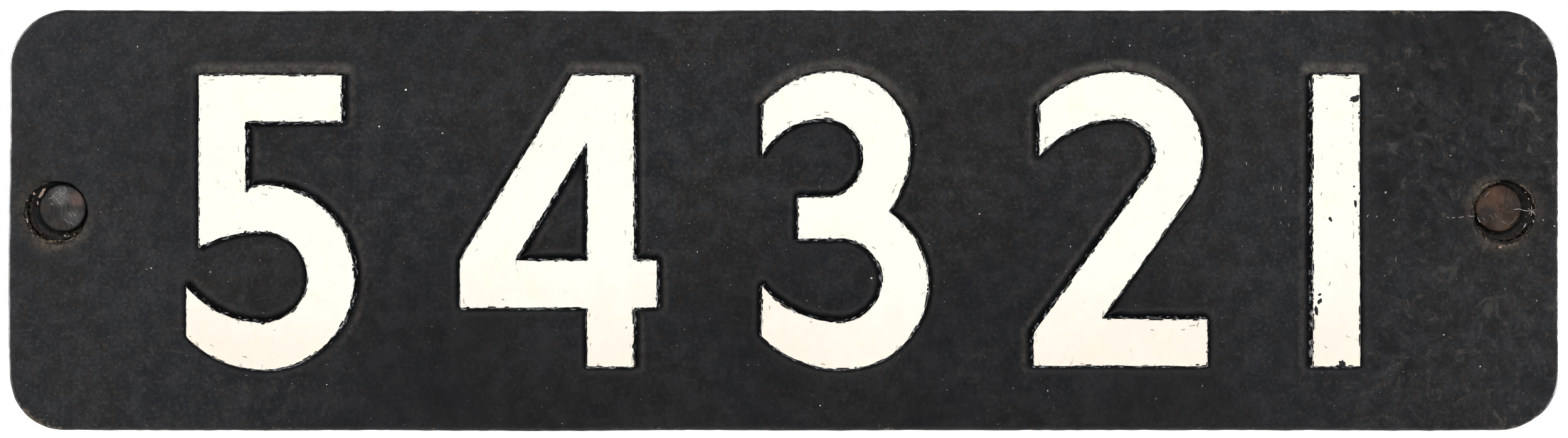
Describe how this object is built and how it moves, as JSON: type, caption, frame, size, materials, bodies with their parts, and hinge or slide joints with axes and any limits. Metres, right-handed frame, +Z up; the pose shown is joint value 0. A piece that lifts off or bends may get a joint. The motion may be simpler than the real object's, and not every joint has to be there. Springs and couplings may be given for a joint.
{
  "type": "locomotive number plate",
  "caption": "cast iron number plate with raised cream numerals on satin black, held by round-headed bolts sunk in a recess at each end, with washers and nuts behind",
  "frame": {"origin": "middle of the flat back of the plate", "axes": "+Z up, the face with the numerals looks towards -Y, +X runs to the right along the length as the numerals are read"},
  "size_m": [0.61, 0.0435, 0.166],
  "materials": {
    "plate_paint": "sand-cast iron under satin black paint, with the faces of the numerals in cream enamel",
    "bolt_steel": "worn, scratched and rusty steel",
    "washer_steel": "dull steel with rust",
    "nut_steel": "dull steel with rust"
  },
  "bodies": {
    "root": {"number_plate": "plate_paint", "fixing_bolt_left": "bolt_steel", "fixing_bolt_right": "bolt_steel", "bolt_washer_left": "washer_steel", "bolt_washer_right": "washer_steel", "bolt_nut_left": "nut_steel", "bolt_nut_right": "nut_steel"}
  },
  "joints": []
}
